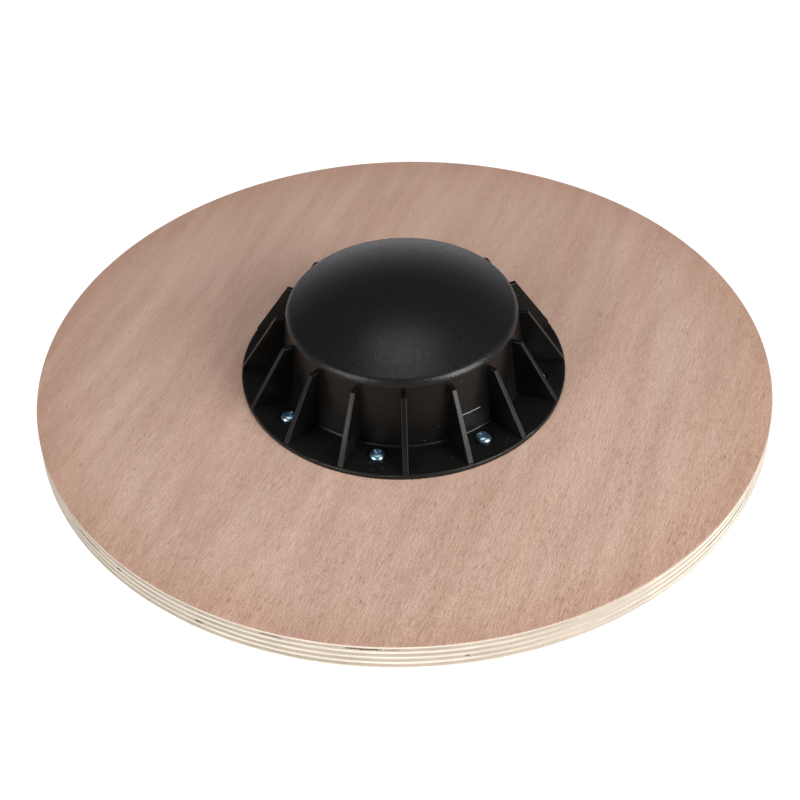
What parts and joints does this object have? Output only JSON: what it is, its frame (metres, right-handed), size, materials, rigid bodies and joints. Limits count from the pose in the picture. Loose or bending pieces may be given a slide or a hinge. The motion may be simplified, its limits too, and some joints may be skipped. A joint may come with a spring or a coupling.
{
  "type": "balance board",
  "caption": "Round plywood balance board with a ribbed, dome-capped plastic rocker base screwed to its underside, lying upside down on its deck.",
  "frame": {"origin": "centre of the face the user stands on, which lies on the ground because the board is modelled upside down", "axes": "+Z through the middle of the dome, from the standing face towards the crown; +X and +Y in the deck's plane, with one rib of the base along -Y"},
  "size_m": [0.3999, 0.4, 0.073],
  "materials": {
    "face_veneer": "pinkish-brown tropical hardwood veneer, sanded, with a thin matt sealer",
    "pale_ply": "pale core ply, its grain across the face grain, sanded at the edge",
    "dark_ply": "core ply with its grain along the face grain, darker where the edge shows end grain, sanded at the edge",
    "black_plastic": "moulded black plastic, satin, with a fine grained cap",
    "zinc_screws": "bright zinc plate with a blue passivation tint"
  },
  "bodies": {
    "root": {"standing_face_veneer": "face_veneer", "core_ply_1": "pale_ply", "core_ply_2": "dark_ply", "core_ply_3": "pale_ply", "core_ply_4": "dark_ply", "core_ply_5": "pale_ply", "core_ply_6": "dark_ply", "core_ply_7": "pale_ply", "core_ply_8": "dark_ply", "core_ply_9": "pale_ply", "rocker_side_veneer": "face_veneer", "rocker_base": "black_plastic", "base_screws": "zinc_screws"}
  },
  "joints": []
}
